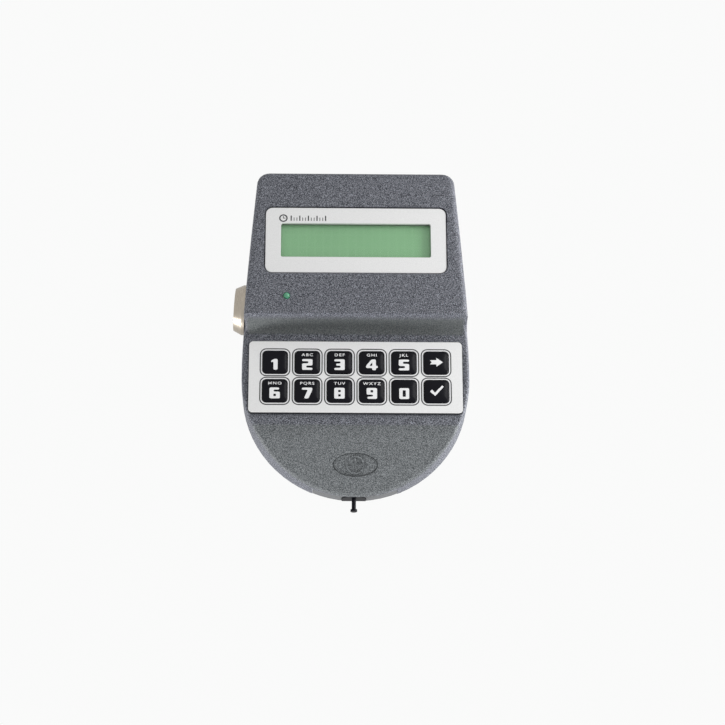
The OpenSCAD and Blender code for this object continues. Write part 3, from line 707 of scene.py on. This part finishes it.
def add_legend(key, loops_name):
    """The white print on one key: its digit or symbol, and its letters where it has them."""
    bm = bmesh.new()
    symbol = loops_name in ("arrow", "check")
    tall = SYMBOL_STRETCH if symbol else 1.0
    loops = []
    for k, loop in enumerate(GLYPHS[loops_name]):
        radius = (0.2 if symbol else 0.7) if k == 0 else 0.3
        loops.append([((x - 2) * GLYPH_W, (y - 3) * GLYPH_H * tall) for x, y in softened(loop, radius)])
    drop = 0.0 if symbol else -DIGIT_DROP
    mesh = outline_mesh("legend", loops)
    bm.from_mesh(mesh)
    bmesh.ops.translate(bm, verts=bm.verts, vec=(0, drop, 0))
    if key in LETTERS:
        text = bpy.data.curves.new("letters", "FONT")
        text.body = LETTERS[key]
        text.align_x = "CENTER"
        text.size = LETTER_SIZE
        text.offset = 0.035 * MM
        text.space_character = 1.3
        letters = flat_mesh("letters", text)
        letters.transform(Matrix.Translation((0, LETTER_RAISE, 0)) @ Matrix.Diagonal((1.12, 0.95, 1, 1)))
        bm.from_mesh(letters)
    raise_flat(bm, lambda x, y: crown(x, y) + LEGEND_GAP, LEGEND_THICK, LEGEND_EDGE)
    piece = make_object(key + "_legend", bm, WHITE_INK, face_frame(key_centre_on_face(key)))
    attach(piece, key)


for key in KEYS:
    bm = bmesh.new()
    skin(bm, key_rings())
    cap = make_object(key + "_cap", bm, KEY, face_frame(key_centre_on_face(key)))
    finish_edges(cap, weld=False)
    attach(cap, key)
    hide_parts(key)
    add_legend(key, key.split("_")[1])


# ---------------------------------------------------------------- print on the keypad and display plates

# Each printed ring: outer half side and corner, inner half side and corner, thickness
WHITE_RING = (6.08 * MM, 2.38 * MM, 5.62 * MM, 2.0 * MM, 0.02 * MM)
DARK_RING = (6.58 * MM, 2.88 * MM, 6.10 * MM, 2.40 * MM, 0.03 * MM)
PRINT_LEFT, PRINT_BASE, PRINT_THICK = -31.6 * MM, 10.6 * MM, 0.03 * MM
TICKS, TICK_PITCH, FIRST_TICK = 13, 1.25 * MM, 3.4 * MM


def add_key_rings():
    """Two thin printed bands round each key."""
    place = face_frame(outer_face("keypad_overlay"))
    inverse = place.inverted()
    white, dark = bmesh.new(), bmesh.new()
    for key in KEYS:
        x, y, _ = inverse @ key_centre_on_face(key)
        flat_ring(white, (x, y, 0), *WHITE_RING)
        flat_ring(dark, (x, y, 0), *DARK_RING)
    for name, bm, mat in (("key_rings_white", white, WHITE_INK), ("key_rings_dark", dark, INK)):
        piece = make_object(name, bm, mat, place)
        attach(piece, "housing")


def add_display_print():
    """A plain clock symbol and a row of time ticks, printed over the window."""
    place = face_frame(outer_face("display_plate"))
    bm = bmesh.new()
    left, base = PRINT_LEFT, PRINT_BASE

    def bar(x, y, w, h):
        corners = [(x + sx * w / 2, y + sy * h / 2) for sx, sy in ((-1, -1), (1, -1), (1, 1), (-1, 1))]
        low = [bm.verts.new((*c, 0)) for c in corners]
        high = [bm.verts.new((*c, PRINT_THICK)) for c in corners]
        bm.faces.new(list(reversed(low)))
        bm.faces.new(high)
        for i in range(4):
            j = (i + 1) % 4
            bm.faces.new((low[i], low[j], high[j], high[i]))

    flat_ring(bm, (left, base, 0), 1.85 * MM, 1.84 * MM, 1.30 * MM, 1.29 * MM, PRINT_THICK)
    bar(left, base + 0.5 * MM, 0.3 * MM, 1.1 * MM)
    bar(left + 0.42 * MM, base, 0.95 * MM, 0.3 * MM)
    for i in range(TICKS):
        drop, width, height = (0, 0.5, 2.5) if i % 3 == 0 else (0.45, 0.3, 1.6)
        bar(left + FIRST_TICK + TICK_PITCH * i, base - drop * MM, width * MM, height * MM)
    piece = make_object("display_print", bm, INK, place)
    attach(piece, "housing")


add_key_rings()
add_display_print()
